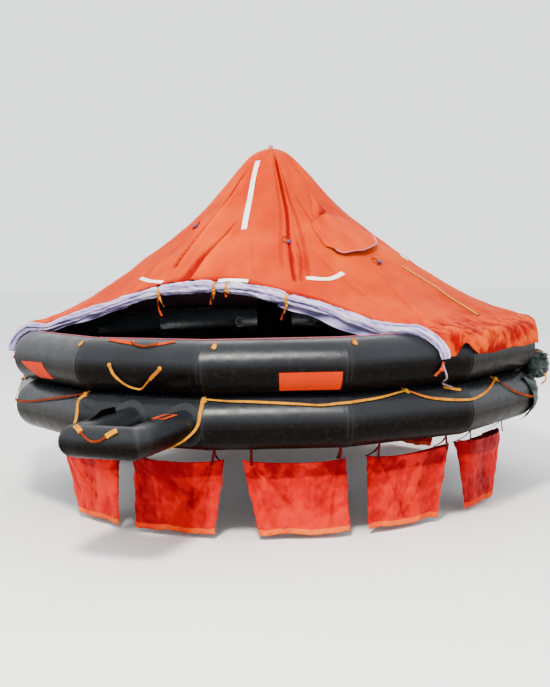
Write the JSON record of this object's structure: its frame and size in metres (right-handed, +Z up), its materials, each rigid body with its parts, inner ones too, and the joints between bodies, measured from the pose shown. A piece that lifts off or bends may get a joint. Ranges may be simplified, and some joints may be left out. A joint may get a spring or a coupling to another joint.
{
  "type": "canopied life raft",
  "caption": "Large round inflatable life raft with two stacked buoyancy tubes, a tent canopy on a centre column, hanging water pockets and a boarding ramp.",
  "frame": {"origin": "middle of the ring at the loaded waterline, which is the middle height of the lower buoyancy tube", "axes": "+Z up, the front entrance and its boarding ramp face -Y, +X to the right as seen from the ramp"},
  "size_m": [4.1307, 4.707, 2.6004],
  "materials": {
    "tube_rubber": "satin black coated fabric",
    "floor_rubber": "matte black coated fabric",
    "canopy_cloth": "coated orange tent cloth",
    "pocket_cloth": "coated red-orange cloth",
    "lining_cloth": "pale lilac inner cloth",
    "webbing": "woven amber tape",
    "pouch_cloth": "grey-green coated cloth",
    "bottle": "dark grey enamel",
    "lamp": "pale translucent plastic"
  },
  "bodies": {
    "root": {"lower_tube": "tube_rubber", "upper_tube": "tube_rubber", "floor": "floor_rubber", "centre_column": "tube_rubber", "canopy_peak": "canopy_cloth", "canopy_light": "lamp", "front_door_roll": "lining_cloth", "boarding_ramp": "tube_rubber", "ramp_web": "floor_rubber", "water_pocket_01": "pocket_cloth", "water_pocket_02": "pocket_cloth", "water_pocket_03": "pocket_cloth", "water_pocket_04": "pocket_cloth", "water_pocket_05": "pocket_cloth", "water_pocket_06": "pocket_cloth", "water_pocket_07": "pocket_cloth", "water_pocket_08": "pocket_cloth", "water_pocket_09": "pocket_cloth", "water_pocket_10": "pocket_cloth", "canopy_gore_01": "canopy_cloth", "canopy_gore_02": "canopy_cloth", "canopy_gore_03": "canopy_cloth", "canopy_gore_04": "canopy_cloth", "canopy_gore_05": "canopy_cloth", "canopy_gore_06": "canopy_cloth", "canopy_gore_07": "canopy_cloth", "canopy_gore_08": "canopy_cloth", "canopy_gore_09": "canopy_cloth", "canopy_gore_10": "canopy_cloth", "canopy_gore_11": "canopy_cloth", "canopy_gore_12": "canopy_cloth", "canopy_gore_13": "canopy_cloth", "canopy_gore_14": "canopy_cloth", "pocket_hangers": "pocket_cloth", "gas_bottle": "bottle", "bottle_pouch": "pouch_cloth", "lifeline_outer": "webbing", "tow_patch_1": "webbing", "tow_patch_2": "webbing", "equipment_patch_1": "webbing", "equipment_patch_2": "webbing", "lookout_hood": "canopy_cloth", "rear_ladder": "webbing", "sign_patch": "canopy_cloth"}
  },
  "joints": []
}
